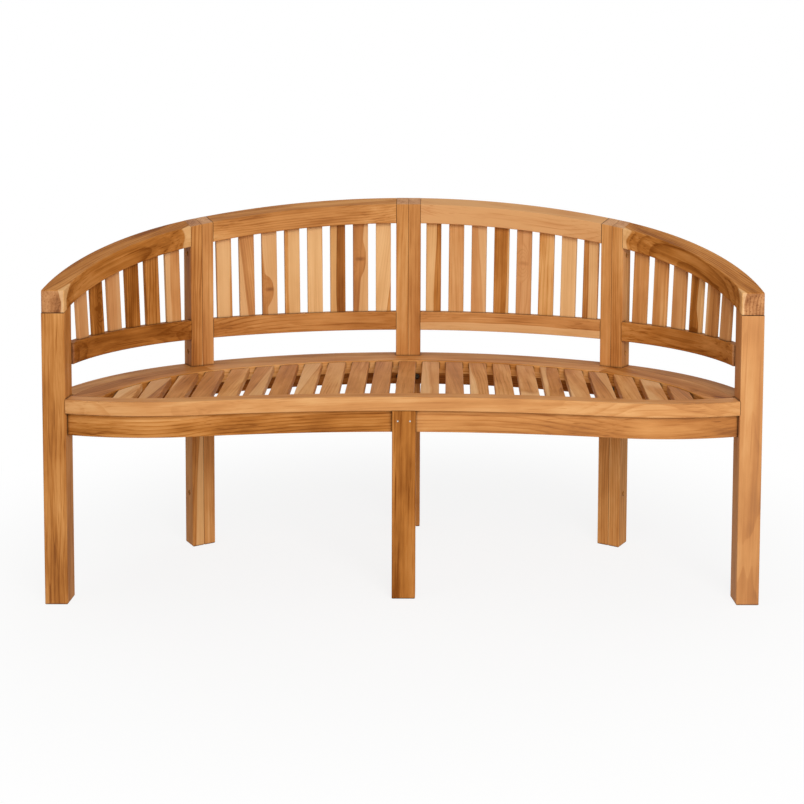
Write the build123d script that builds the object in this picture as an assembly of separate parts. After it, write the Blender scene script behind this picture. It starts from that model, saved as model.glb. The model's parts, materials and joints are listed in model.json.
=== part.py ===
from build123d import *
import math
import os

os.makedirs("parts", exist_ok=True)

# Curved garden bench in teak. Millimetres, Z up, X across.
# While modelling, Y runs back from the front faces of the front posts.

# Overall sizes
OVERALL_WIDTH = 1500.0
BACK_DEPTH = 508.0        # front posts' front faces to the inner face of the back, on the centre line
SEAT_HEIGHT = 435.0
ARM_HEIGHT = 663.0        # top of the arm rail at the front posts' front faces
TOP_SLOPE = 16.5          # rise of the arm and back rails towards the back, degrees

# Plan of the back: one middle arc, and a tighter arc round each arm
BEND_ANGLE = 32.0         # turn from the centre line to each side post, degrees
ARM_ARC_LEAD = 22.0       # the arm arcs run square to the front this far ahead of the posts

# Plan of the seat's front edge: a hollow in the middle and a lobe on each side
HOLLOW_SETBACK = 33.0
LOBE_PROUD = 24.0
LOBE_CENTRE = 545.0
LOBE_RADIUS = 560.0
LOBE_TURN = 60.0          # the lobe arcs run on past the posts by this much

# Posts and legs
RAIL_DEPTH = 48.0         # top rails and rear posts from inner to outer face; width of the front posts
FRONT_POST_DEPTH = 50.0
SIDE_HALF_POST = 28.0
CENTRE_HALF_POST = 30.5
LEG_WIDTH = 50.0
LEG_DEPTH = 45.0

# Back rails and slats
TOP_RAIL_HEIGHT = 48.0
LOWER_RAIL_GAP = 64.5     # seat top to the underside of the lower rails
LOWER_RAIL_HEIGHT = 45.5
LOWER_RAIL_THICKNESS = 25.0
SLAT_WIDTH = 37.5
SLAT_THICKNESS = 10.0
BACK_SLAT_PITCH = 55.8
ARM_SLAT_PITCH = 53.7
ARM_SLAT_GAP = 21.0       # side post to the nearest arm slat
SLAT_RAKE = 3.0           # lean of the slats towards the back, degrees
SLAT_TENON = 10.0

# Seat
SEAT_RAIL_THICKNESS = 30.0
FRONT_RAIL_WIDTH = 40.0
REAR_BOARD_WIDTH = 66.0
SEAT_SLAT_WIDTH = 40.5
SEAT_SLAT_THICKNESS = 16.0
SEAT_SLAT_PITCH = 53.4    # measured along the line of the posts' front faces
SEAT_SLAT_FAN = 6800.0    # the slats spread from a point this far ahead of the front posts
SEAT_SLAT_DROP = 2.0      # slat tops below the rail tops
SEAT_TONGUE = 8.0         # length and thickness of the slat tongues
STRIP_TONGUE = 8.0        # tongue of the outer strips in the rear boards
APRON_HEIGHT = 48.0
REAR_APRON_HEIGHT = 36.5
APRON_THICKNESS = 22.0
APRON_SETBACK = 14.0      # front apron behind the front rail's edge
BEARER_WIDTH = 28.0

# Tenons
MORTISE_FLOOR = 10.0      # wood left at the end of a mortise in a half post
FRONT_TENON_LENGTH = 20.0 # tenons in the front posts
TENON_ROOT = 12.0         # length of a tenon inside its own board
RAIL_TENON_INSET = 10.0   # shoulder above and below a rail's tenon
TOP_TENON_THICKNESS = 16.0
THIN_TENON_THICKNESS = 12.0
POST_TENON = 22.0         # square tenon on top of each front post
SEAT_TENON_WIDTH = 22.0
SEAT_TENON_THICKNESS = 14.0
LOOSE_TENON_LENGTH = 36.0
LOOSE_TENON_WIDTH = 30.0
LOOSE_TENON_THICKNESS = 8.0

# Fasteners
LEG_BOLT_HEIGHT = 126.0
TOP_BOLT_DROP = 28.0      # below the underside of the top rails
BOLT_DIAMETER = 6.0
BOLT_HEAD_DIAMETER = 10.0
BOLT_HEAD_HEIGHT = 6.0
BOLT_SOCKET = 5.0         # across flats
NUT_ACROSS_FLATS = 10.0
NUT_HEIGHT = 5.0
RECESS_DIAMETER = 13.0
RECESS_DEPTH = 13.0
LEG_SCREW_SPACING = 26.0
LEG_SCREW_DROP = 21.5     # below the top of the apron
LEG_SCREW_HEAD = 7.0
LEG_SCREW_HEAD_HEIGHT = 1.8
LEG_SCREW_DIAMETER = 3.5
LEG_SCREW_BITE = 16.0     # length of a leg screw in the apron
COACH_SCREW_DIAMETER = 6.0
COACH_SCREW_BITE = 33.0   # length of a coach screw in the post
COACH_SCREW_HEAD = 10.0
COACH_SCREW_HEAD_HEIGHT = 4.0
COACH_RECESS = 15.0       # counterbore for the head and its socket
COACH_SINK = 6.0          # depth of the counterbore in the apron

# Fits and eased edges
JOINT_CLEARANCE = 0.2
END_CLEARANCE = 0.3
HEAD_CLEARANCE = 0.6      # counterbores clear of the bearer
POST_EASE = 2.0
RAIL_EASE = 2.5
SLAT_EASE = 2.0
SEAM_EASE = 1.3           # edges where two pieces meet

# Values worked out from the sizes above
REACH = 2 * OVERALL_WIDTH
half_inner = OVERALL_WIDTH / 2 - RAIL_DEPTH
bend = math.radians(BEND_ANGLE)
arc_depth = BACK_DEPTH + ARM_ARC_LEAD
spread = math.sin(bend) * math.cos(bend) - (1 - math.sin(bend)) * (1 - math.cos(bend))
back_radius = (half_inner * math.cos(bend) - (1 - math.sin(bend)) * arc_depth) / spread
arm_radius = (math.sin(bend) * arc_depth - (1 - math.cos(bend)) * half_inner) / spread
back_centre = (0.0, BACK_DEPTH - back_radius)
arm_centre = (half_inner - arm_radius, -ARM_ARC_LEAD)
hollow_rise = HOLLOW_SETBACK + LOBE_PROUD
hollow_radius = (LOBE_CENTRE**2 / hollow_rise + hollow_rise) / 2 - LOBE_RADIUS
hollow_centre = (0.0, HOLLOW_SETBACK - hollow_radius)
lobe_centre = (LOBE_CENTRE, LOBE_RADIUS - LOBE_PROUD)
hollow_turn = math.degrees(math.asin(LOBE_CENTRE / (hollow_radius + LOBE_RADIUS)))

rail_bottom = SEAT_HEIGHT - SEAT_RAIL_THICKNESS
apron_bottom = rail_bottom - APRON_HEIGHT
rear_apron_bottom = rail_bottom - REAR_APRON_HEIGHT
bearer_bottom = max(apron_bottom, rear_apron_bottom)
lower_bottom = SEAT_HEIGHT + LOWER_RAIL_GAP
lower_top = lower_bottom + LOWER_RAIL_HEIGHT
slat_top = SEAT_HEIGHT - SEAT_SLAT_DROP
slat_bottom = slat_top - SEAT_SLAT_THICKNESS
mid_depth = (BACK_DEPTH + RAIL_DEPTH - LOBE_PROUD) / 2
side_screw = SIDE_HALF_POST / 2
centre_screw = BEARER_WIDTH / 2 + COACH_RECESS / 2 + HEAD_CLEARANCE
coach_length = APRON_THICKNESS - COACH_SINK + COACH_SCREW_BITE
leg_screw_length = APRON_SETBACK + LEG_SCREW_BITE
FROM_SEAT = (Align.CENTER, Align.CENTER, Align.MIN)
TO_SEAT = (Align.CENTER, Align.CENTER, Align.MAX)


def on_back(distance):
    """Place on the back's inner line, measured from the centre; x along it, y outwards."""
    turn = distance / back_radius
    x = back_centre[0] + back_radius * math.sin(turn)
    y = back_centre[1] + back_radius * math.cos(turn)
    return Location((x, y, 0), (0, 0, -math.degrees(turn)))


def on_arm(distance):
    """Place on the right arm's inner line, measured from the side post's seam."""
    turn = bend + distance / arm_radius
    x = arm_centre[0] + arm_radius * math.sin(turn)
    y = arm_centre[1] + arm_radius * math.cos(turn)
    return Location((x, y, 0), (0, 0, -math.degrees(turn)))


centre_seam = on_back(0)
side_seam = on_arm(0)
square = Location((0, 0, 0))
to_the_back = Location((0, 0, 0), (0, 0, 90))
back_side = side_seam * Rot(0, 0, 180)


def beyond(place, start):
    """Plan area on the far side of a line square to the place's x axis."""
    return place * Pos(start + REACH / 2, 0) * Rectangle(REACH, REACH)


def inside(offset):
    """Plan area within the back's inner line moved outwards by offset, open to the front."""
    arm = arm_radius + offset
    right = CenterArc(arm_centre, arm, 0, 90 - BEND_ANGLE)
    middle = CenterArc(back_centre, back_radius + offset, 90 - BEND_ANGLE, 2 * BEND_ANGLE)
    left = CenterArc((-arm_centre[0], arm_centre[1]), arm, 90 + BEND_ANGLE, 90 - BEND_ANGLE)
    edge = arm_centre[0] + arm
    front = Polyline(left @ 1, (-edge, -REACH), (edge, -REACH), right @ 0)
    return make_face([right, middle, left, front])


def behind(offset):
    """Plan area behind the seat's front edge moved back by offset."""
    lobe = LOBE_RADIUS - offset
    turn = LOBE_TURN + hollow_turn
    left = CenterArc((-lobe_centre[0], lobe_centre[1]), lobe, 270 - LOBE_TURN, turn)
    middle = CenterArc(hollow_centre, hollow_radius + offset, 90 + hollow_turn, -2 * hollow_turn)
    right = CenterArc(lobe_centre, lobe, 270 - hollow_turn, turn)
    back = Polyline(right @ 1, (REACH, REACH), (-REACH, REACH), left @ 0)
    return make_face([left, middle, right, back])


def ring(inner, outer):
    """Plan band along the back between two offsets of its inner line."""
    return inside(outer) - inside(inner)


def seat_field(margin):
    """Plan area that the seat slats fill, drawn in from the rails by margin."""
    return behind(FRONT_RAIL_WIDTH + margin) & inside(-REAR_BOARD_WIDTH - margin)


def prism(area, bottom, top):
    """Upright solid over a plan area."""
    return extrude(Pos(0, 0, bottom) * area, top - bottom)


def top_height(y):
    return ARM_HEIGHT + y * math.tan(math.radians(TOP_SLOPE))


def sloped(low, high):
    """Slab between two planes parallel to the sloping tops, given as heights above them."""
    corners = [
        (-REACH, top_height(-REACH) + low),
        (REACH, top_height(REACH) + low),
        (REACH, top_height(REACH) + high),
        (-REACH, top_height(-REACH) + high),
    ]
    return extrude(Plane.YZ * make_face(Polyline(*corners, close=True)), REACH, both=True)


def block(place, x, y, z):
    """Box between two limits on each axis of a place."""
    size = (x[1] - x[0], y[1] - y[0], z[1] - z[0])
    middle = ((x[0] + x[1]) / 2, (y[0] + y[1]) / 2, (z[0] + z[1]) / 2)
    return place * Pos(*middle) * Box(*size)


def around(middle, size, grow=0.0):
    """Limits of a length about its middle."""
    return (middle - size / 2 - grow, middle + size / 2 + grow)


def ease_long(solid, radius, shortest):
    """Round the edges along a board, leaving its ends square."""
    return fillet(solid.edges().filter_by(lambda edge: edge.length > shortest), radius)


# Plan areas between the posts, on the right-hand side
arm_bay = beyond(side_seam, SIDE_HALF_POST)
arm_bay_behind_post = arm_bay & beyond(to_the_back, FRONT_POST_DEPTH)
back_bay = beyond(square, CENTRE_HALF_POST) & beyond(back_side, SIDE_HALF_POST)
arm_half = beyond(side_seam, 0)
back_half = beyond(square, 0) & beyond(back_side, 0)
arm_length = arm_radius * (math.acos((FRONT_POST_DEPTH - arm_centre[1]) / arm_radius) - bend)
back_length = back_radius * bend
post_x = (half_inner, half_inner + RAIL_DEPTH)
front_post = Location((post_x[0], 0, 0))


def back_stations():
    """Slat middles along the back, evenly pitched about the middle of the bay."""
    start, end = CENTRE_HALF_POST, back_length - SIDE_HALF_POST
    count = int((end - start) / BACK_SLAT_PITCH)
    first = (start + end - (count - 1) * BACK_SLAT_PITCH) / 2
    return [first + index * BACK_SLAT_PITCH for index in range(count)]


def arm_stations():
    """Slat middles along the arm, from the side post forwards, as many as fit behind the front post."""
    first = SIDE_HALF_POST + ARM_SLAT_GAP + SLAT_WIDTH / 2
    count = int((arm_length - SLAT_WIDTH / 2 - first) / ARM_SLAT_PITCH) + 1
    return [first + index * ARM_SLAT_PITCH for index in range(count)]


# Tenons of the back's rails, each with the mortise it needs

def rail_tenon(place, shoulder, length, across, thickness, z):
    """Tenon along a place's x axis, from its shoulder towards the place's origin."""
    x = (shoulder - length, shoulder + TENON_ROOT)
    return block(place, x, around(across, thickness), z)


def top_tenon(place, shoulder, across, grow=0.0):
    """Tenon of a top rail in a half post."""
    top = top_height((place * Pos(shoulder, across)).position.Y)
    z = (top - TOP_RAIL_HEIGHT + RAIL_TENON_INSET - grow, top - RAIL_TENON_INSET + grow)
    length = shoulder - MORTISE_FLOOR + grow
    return rail_tenon(place, shoulder, length, across, TOP_TENON_THICKNESS + 2 * grow, z)


def lower_tenon(place, shoulder, length, across, grow=0.0):
    """Tenon of a lower rail in a half post or a front post."""
    z = (lower_bottom + RAIL_TENON_INSET - grow, lower_top - RAIL_TENON_INSET + grow)
    return rail_tenon(place, shoulder, length + grow, across, THIN_TENON_THICKNESS + 2 * grow, z)


lower_across = LOWER_RAIL_THICKNESS / 2
lower_end_x = arm_centre[0] + math.sqrt(arm_radius**2 - (FRONT_POST_DEPTH - arm_centre[1]) ** 2)
front_lower_across = -(max(lower_end_x, post_x[0]) + lower_end_x + LOWER_RAIL_THICKNESS) / 2
side_tenon_length = SIDE_HALF_POST - MORTISE_FLOOR
centre_tenon_length = CENTRE_HALF_POST - MORTISE_FLOOR


def arm_top_tenon(grow=0.0):
    return top_tenon(side_seam, SIDE_HALF_POST, RAIL_DEPTH / 2, grow)


def back_top_tenons(grow=0.0):
    side = top_tenon(back_side, SIDE_HALF_POST, -RAIL_DEPTH / 2, grow)
    return side, top_tenon(centre_seam, CENTRE_HALF_POST, RAIL_DEPTH / 2, grow)


def arm_lower_tenons(grow=0.0):
    side = lower_tenon(side_seam, SIDE_HALF_POST, side_tenon_length, lower_across, grow)
    front = lower_tenon(to_the_back, FRONT_POST_DEPTH, FRONT_TENON_LENGTH, front_lower_across, grow)
    return side, front


def back_lower_tenons(grow=0.0):
    side = lower_tenon(back_side, SIDE_HALF_POST, side_tenon_length, -lower_across, grow)
    centre = lower_tenon(centre_seam, CENTRE_HALF_POST, centre_tenon_length, lower_across, grow)
    return side, centre


def post_top_tenon(grow=0.0):
    middle = (RAIL_DEPTH / 2, FRONT_POST_DEPTH / 2)
    x = around(middle[0], POST_TENON, grow)
    y = around(middle[1], POST_TENON, grow)
    tall = block(front_post, x, y, (lower_top, REACH))
    return tall & sloped(-REACH, POST_TENON - TOP_RAIL_HEIGHT + grow)


def front_edge(x, offset):
    """Y of the seat's front edge moved back by offset, beyond the lobe's middle."""
    lobe = LOBE_RADIUS - offset
    return lobe_centre[1] - math.sqrt(lobe**2 - (x - LOBE_CENTRE) ** 2)


front_rail_middle = front_edge(half_inner, FRONT_RAIL_WIDTH / 2)
apron_middle = front_edge(half_inner, APRON_SETBACK + APRON_THICKNESS / 2)
seat_middle = SEAT_HEIGHT - SEAT_RAIL_THICKNESS / 2
apron_tenon_z = (apron_bottom + RAIL_TENON_INSET, rail_bottom - RAIL_TENON_INSET)


def front_rail_tenon(grow=0.0):
    x = (-TENON_ROOT, FRONT_TENON_LENGTH + grow)
    y = around(front_rail_middle, SEAT_TENON_WIDTH, grow)
    return block(front_post, x, y, around(seat_middle, SEAT_TENON_THICKNESS, grow))


def apron_tenon(grow=0.0):
    x = (-TENON_ROOT, FRONT_TENON_LENGTH + grow)
    z = (apron_tenon_z[0] - grow, apron_tenon_z[1] + grow)
    return block(front_post, x, around(apron_middle, THIN_TENON_THICKNESS, grow), z)


# Back slats

def back_slat(place, grow=0.0):
    """Raked slat, housed in the lower rail and in the underside of the top rail."""
    board = Box(SLAT_WIDTH + 2 * grow, SLAT_THICKNESS + 2 * grow, REACH / 2, align=FROM_SEAT)
    board = fillet(board.edges().filter_by(Axis.Z), SLAT_EASE + grow)
    foot = Pos(0, lower_across, lower_top) * Rot(-SLAT_RAKE, 0, 0) * Pos(0, 0, -SLAT_TENON - grow)
    return (place * foot * board) & sloped(-REACH, SLAT_TENON + grow - TOP_RAIL_HEIGHT)


arm_places = [on_arm(distance) for distance in arm_stations()]
back_places = [on_back(distance) for distance in back_stations()]


def slat_set(places):
    return [back_slat(place) for place in places]


def slat_mortises(places):
    return [back_slat(place, JOINT_CLEARANCE) for place in places]


# Back rails

def top_rail(area):
    board = prism(ring(0, RAIL_DEPTH) & area, lower_top, REACH) & sloped(-TOP_RAIL_HEIGHT, 0)
    return ease_long(board, RAIL_EASE, 2 * RAIL_DEPTH)


def arm_top_rail():
    rail = top_rail(arm_bay & beyond(to_the_back, 0))
    end = rail.faces().sort_by(Axis.Y)[0]
    rail = fillet(end.edges().filter_by(Axis.Z), RAIL_EASE)
    return rail + arm_top_tenon() - [post_top_tenon(JOINT_CLEARANCE), *slat_mortises(arm_places)]


def back_top_rail():
    return top_rail(back_bay) + back_top_tenons() - slat_mortises(back_places)


def lower_rail(area):
    board = prism(ring(0, LOWER_RAIL_THICKNESS) & area, lower_bottom, lower_top)
    return ease_long(board, RAIL_EASE, 2 * RAIL_DEPTH)


def arm_lower_rail():
    return lower_rail(arm_bay_behind_post) + arm_lower_tenons() - slat_mortises(arm_places)


def back_lower_rail():
    return lower_rail(back_bay) + back_lower_tenons() - slat_mortises(back_places)


# Posts

def foot_eased(post):
    return chamfer(post.faces().sort_by(Axis.Z)[0].edges(), POST_EASE)


def uprights_eased(post, radius, chosen=lambda edge: True):
    return fillet(post.edges().filter_by(Axis.Z).filter_by(chosen), radius)


def half_post(place, x):
    """Half of a rear post; x = 0 of its place is the seam with the other half."""
    post = foot_eased(block(place, x, (0, RAIL_DEPTH), (0, REACH / 2)))
    post &= sloped(-REACH, 0)
    crest = post.faces().sort_by(Axis.Z)[-1]
    post = fillet(crest.edges().sort_by(Edge.length)[:2], POST_EASE)

    def at_seam(edge):
        return abs((place.inverse() * Pos(*edge.center())).position.X) < SEAM_EASE

    post = uprights_eased(post, SEAM_EASE, at_seam)
    return uprights_eased(post, POST_EASE, lambda edge: edge.length > lower_top and not at_seam(edge))


def bolt_place(place, height):
    """Middle of a bolt through a seam; z runs along the bolt."""
    return place * Pos(0, RAIL_DEPTH / 2, height) * Rot(0, 90, 0)


def bolt_heights(place):
    """Bolts in the leg, between the seat and the lower rail, and below the top rail."""
    top = top_height((place * Pos(0, RAIL_DEPTH / 2)).position.Y)
    return (LEG_BOLT_HEIGHT, (SEAT_HEIGHT + lower_bottom) / 2, top - TOP_RAIL_HEIGHT - TOP_BOLT_DROP)


def bolt_cuts(place, half):
    """Room for the bolts through a seam, with a recess at each end."""
    cuts = []
    for height in bolt_heights(place):
        at = bolt_place(place, height)
        cuts.append(at * Cylinder(BOLT_DIAMETER / 2 + JOINT_CLEARANCE, 4 * half))
        for end in (-1, 1):
            cuts.append(at * Pos(0, 0, end * half) * Cylinder(RECESS_DIAMETER / 2, 2 * RECESS_DEPTH))
    return cuts


def coach_place(place, across):
    """Head seat of a coach screw, sunk in the rear apron and driven outwards along z."""
    middle = (rear_apron_bottom + rail_bottom) / 2
    return place * Pos(across, COACH_SINK - APRON_THICKNESS, middle) * Rot(-90, 0, 0)


def coach_hole(place, across):
    """Hole for a coach screw and the counterbore for its head."""
    radius = COACH_SCREW_DIAMETER / 2 + JOINT_CLEARANCE
    hole = Cylinder(radius, coach_length + END_CLEARANCE, align=FROM_SEAT)
    return coach_place(place, across) * (hole + Cylinder(COACH_RECESS / 2, 2 * COACH_SINK, align=TO_SEAT))


def front_post_solid():
    post = block(front_post, (0, RAIL_DEPTH), (0, FRONT_POST_DEPTH), (0, REACH / 2))
    post = uprights_eased(foot_eased(post), POST_EASE) & sloped(-REACH, -TOP_RAIL_HEIGHT)
    lower = arm_lower_tenons(JOINT_CLEARANCE)[1]
    mortises = [lower, front_rail_tenon(JOINT_CLEARANCE), apron_tenon(JOINT_CLEARANCE)]
    return post + post_top_tenon() - mortises


def arm_rear_post():
    mortises = [arm_top_tenon(JOINT_CLEARANCE), arm_lower_tenons(JOINT_CLEARANCE)[0]]
    holes = [*bolt_cuts(side_seam, SIDE_HALF_POST), coach_hole(side_seam, side_screw)]
    return half_post(side_seam, (0, SIDE_HALF_POST)) - [*mortises, *holes]


def back_side_post():
    mortises = [back_top_tenons(JOINT_CLEARANCE)[0], back_lower_tenons(JOINT_CLEARANCE)[0]]
    holes = [*bolt_cuts(side_seam, SIDE_HALF_POST), coach_hole(side_seam, -side_screw)]
    return half_post(side_seam, (-SIDE_HALF_POST, 0)) - [*mortises, *holes]


def back_centre_post():
    mortises = [back_top_tenons(JOINT_CLEARANCE)[1], back_lower_tenons(JOINT_CLEARANCE)[1]]
    holes = [*bolt_cuts(centre_seam, CENTRE_HALF_POST), coach_hole(centre_seam, centre_screw)]
    return half_post(centre_seam, (0, CENTRE_HALF_POST)) - [*mortises, *holes]


# Seat

tip_x = half_inner - REAR_BOARD_WIDTH
slats_a_side = int((tip_x - SEAT_SLAT_WIDTH / 2) / SEAT_SLAT_PITCH)
slat_step = math.degrees(SEAT_SLAT_PITCH / SEAT_SLAT_FAN)
tongue_middle = (slat_top + slat_bottom) / 2


def slat_strip(index, grow=0.0):
    """Plan strip of one seat slat, counted from the centre line."""
    turn = Pos(0, -SEAT_SLAT_FAN) * Rot(0, 0, -index * slat_step) * Pos(0, SEAT_SLAT_FAN)
    return turn * Rectangle(SEAT_SLAT_WIDTH + 2 * grow, REACH)


def slat_tongue(index, grow=0.0):
    area = slat_strip(index, grow - SLAT_EASE) & seat_field(-SEAT_TONGUE - grow)
    z = around(tongue_middle, SEAT_TONGUE, grow)
    return prism(area, *z)


def seat_slat(index):
    board = prism(slat_strip(index) & seat_field(END_CLEARANCE), slat_bottom, slat_top)
    long_edges = board.edges().filter_by(GeomType.LINE).group_by(Axis.Z)[-1]
    return fillet(long_edges, SLAT_EASE) + slat_tongue(index)


slat_indexes = range(-slats_a_side, slats_a_side + 1)
tongue_mortises = [slat_tongue(index, JOINT_CLEARANCE) for index in slat_indexes]


def loose_tenon(place, grow=0.0):
    """Flat tenon across a butt joint of the seat boards, along the place's x axis."""
    x = around(0, LOOSE_TENON_LENGTH, grow)
    y = around(0, LOOSE_TENON_WIDTH, grow)
    return block(place, x, y, around(0, LOOSE_TENON_THICKNESS, grow))


board_middle = -REAR_BOARD_WIDTH / 2
front_joint_x = half_inner + board_middle
side_joint = side_seam * Pos(0, board_middle, seat_middle)
centre_joint = centre_seam * Pos(0, board_middle, seat_middle)
front_joint_y = front_edge(front_joint_x, FRONT_RAIL_WIDTH)
front_joint = Location((front_joint_x, front_joint_y, seat_middle), (0, 0, 90))
right_slots = [loose_tenon(place, JOINT_CLEARANCE) for place in (side_joint, centre_joint, front_joint)]


def mirrored(solid):
    return mirror(solid, about=Plane.YZ)


def strip_tongue(area, grow=0.0):
    band = ring(-STRIP_TONGUE - grow, RAIL_DEPTH / 2) & area
    return prism(band, *around(seat_middle, STRIP_TONGUE, grow))


between_posts = Rectangle(2 * half_inner, REACH)
front_rail_room = (behind(0) - behind(FRONT_RAIL_WIDTH + END_CLEARANCE)) & between_posts
arm_strip_bay = arm_bay_behind_post - front_rail_room


def front_board(front, back, z, ease):
    """Board between two offsets of the seat's front edge and between the posts, eased along its front."""
    slab = prism(behind(front) & between_posts, *z)
    slab = fillet(slab.edges().filter_by(GeomType.CIRCLE), ease)
    return slab - prism(behind(back), *z)


def front_rail():
    board = front_board(0, FRONT_RAIL_WIDTH, (rail_bottom, SEAT_HEIGHT), RAIL_EASE)
    inner_radii = (LOBE_RADIUS - FRONT_RAIL_WIDTH, hollow_radius + FRONT_RAIL_WIDTH)

    def on_inner_edge(edge):
        return min(abs(edge.radius - radius) for radius in inner_radii) < SEAM_EASE

    top_arcs = board.edges().filter_by(GeomType.CIRCLE).group_by(Axis.Z)[-1]
    board = chamfer(top_arcs.filter_by(on_inner_edge), SEAM_EASE)
    board += [front_rail_tenon(), mirrored(front_rail_tenon())]
    slot = loose_tenon(front_joint, JOINT_CLEARANCE)
    return board - [slot, mirrored(slot), *tongue_mortises]


def rear_board(area, bay):
    plan = ring(-REAR_BOARD_WIDTH, 0) & area & behind(FRONT_RAIL_WIDTH)
    board = prism(plan, rail_bottom, SEAT_HEIGHT)
    arcs = board.edges().filter_by(GeomType.CIRCLE).group_by(Axis.Z)[-1]
    board = fillet(arcs.sort_by(lambda edge: edge.radius)[:1], RAIL_EASE)
    return board - [*right_slots, strip_tongue(bay, JOINT_CLEARANCE), *tongue_mortises]


def outer_strip(bay):
    board = prism(ring(JOINT_CLEARANCE, RAIL_DEPTH) & bay, rail_bottom, SEAT_HEIGHT)
    board = ease_long(board, SEAM_EASE, 2 * RAIL_DEPTH)
    return board + strip_tongue(bay)


def front_apron():
    z = (apron_bottom, rail_bottom)
    board = front_board(APRON_SETBACK, APRON_SETBACK + APRON_THICKNESS, z, SEAM_EASE)
    board &= prism(beyond(square, 0), *z)
    return board + apron_tenon() - [leg_screw_hole(1), bearer_tenon(JOINT_CLEARANCE)]


def rear_apron(area, places):
    plan = ring(-APRON_THICKNESS, 0) & area & behind(APRON_SETBACK + APRON_THICKNESS)
    holes = [coach_hole(place, across) for place, across in places]
    board = prism(plan, rear_apron_bottom, rail_bottom)
    board = ease_long(board, SEAM_EASE, 2 * REAR_APRON_HEIGHT)
    return board - [*holes, bearer_tenon(JOINT_CLEARANCE)]


bearer_front = HOLLOW_SETBACK + APRON_SETBACK + APRON_THICKNESS
bearer_back = BACK_DEPTH - APRON_THICKNESS


def bearer_tenon(grow=0.0):
    half = APRON_THICKNESS / 2
    y = (bearer_front - half - grow, bearer_back + half + grow)
    z = (bearer_bottom + RAIL_TENON_INSET - grow, rail_bottom - RAIL_TENON_INSET + grow)
    return block(square, around(0, THIN_TENON_THICKNESS, grow), y, z)


def centre_bearer():
    """Bearer under the middle slat, tenoned into the aprons."""
    x = around(0, BEARER_WIDTH)
    front = HOLLOW_SETBACK + FRONT_RAIL_WIDTH + END_CLEARANCE
    back = BACK_DEPTH - REAR_BOARD_WIDTH - 2 * END_CLEARANCE
    low = block(square, x, (bearer_front, bearer_back - END_CLEARANCE), (bearer_bottom, rail_bottom))
    high = block(square, x, (front, back), (bearer_bottom, slat_bottom))
    return low + high + bearer_tenon()


# Centre front leg, lapped over the front aprons

leg_front = HOLLOW_SETBACK
leg_screw_z = rail_bottom - LEG_SCREW_DROP


def leg_screw_place(side):
    """Screw on the leg's front face, driven back along z."""
    return Location((side * LEG_SCREW_SPACING / 2, leg_front, leg_screw_z), (-90, 0, 0))


def leg_screw_hole(side):
    radius = LEG_SCREW_DIAMETER / 2 + JOINT_CLEARANCE
    return leg_screw_place(side) * Cylinder(radius, leg_screw_length + END_CLEARANCE, align=FROM_SEAT)


def leg_screw(side):
    shank = Cylinder(LEG_SCREW_DIAMETER / 2, leg_screw_length, align=FROM_SEAT)
    head = Cylinder(LEG_SCREW_HEAD / 2, LEG_SCREW_HEAD_HEIGHT, align=TO_SEAT)
    head = fillet(head.edges().group_by(Axis.Z)[0], LEG_SCREW_HEAD_HEIGHT / 2)
    return leg_screw_place(side) * (shank + head)


def centre_leg():
    leg = block(square, around(0, LEG_WIDTH), (leg_front, leg_front + LEG_DEPTH), (0, rail_bottom))
    leg = uprights_eased(foot_eased(leg), POST_EASE)
    lap = leg_front + APRON_SETBACK - END_CLEARANCE
    notch = block(square, around(0, REACH), (lap, REACH), (apron_bottom, REACH))
    return leg - [notch, leg_screw_hole(1), leg_screw_hole(-1)]


# Fasteners

def hexagon(across_flats):
    return RegularPolygon(across_flats / 2, 6, major_radius=False)


def post_bolts(place, half):
    """Socket-head bolts of a seam, with their heads in the recesses on its +x side."""
    seat = half - RECESS_DEPTH
    shank = Cylinder(BOLT_DIAMETER / 2, 2 * seat + NUT_HEIGHT, align=TO_SEAT)
    head = Cylinder(BOLT_HEAD_DIAMETER / 2, BOLT_HEAD_HEIGHT, align=FROM_SEAT)
    socket = extrude(Pos(0, 0, BOLT_HEAD_HEIGHT) * hexagon(BOLT_SOCKET), -BOLT_HEAD_HEIGHT / 2)
    bolt = Pos(0, 0, seat) * (shank + head - socket)
    return [bolt_place(place, height) * bolt for height in bolt_heights(place)]


def post_nuts(place, half):
    nut = extrude(hexagon(NUT_ACROSS_FLATS), -NUT_HEIGHT)
    nut -= Cylinder(BOLT_DIAMETER / 2 + JOINT_CLEARANCE, 4 * NUT_HEIGHT)
    nut = Pos(0, 0, RECESS_DEPTH - half) * nut
    return [bolt_place(place, height) * nut for height in bolt_heights(place)]


def coach_screw(place, across):
    shank = Cylinder(COACH_SCREW_DIAMETER / 2, coach_length, align=FROM_SEAT)
    head = extrude(hexagon(COACH_SCREW_HEAD), -COACH_SCREW_HEAD_HEIGHT)
    return coach_place(place, across) * (shank + head)


def both_sides(solids):
    return [*solids, *(mirrored(solid) for solid in solids)]


# Export: the origin is on the floor, in the middle of the bench's width and depth

def save(node, solids):
    placed = [Pos(0, -mid_depth, 0) * solid for solid in solids]
    shape = placed[0] if len(placed) == 1 else Compound(children=placed)
    export_step(shape, f"parts/{node}.step")


side_screws = [(side_seam, side_screw), (side_seam, -side_screw)]
centre_screws = [(centre_seam, centre_screw)]

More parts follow.
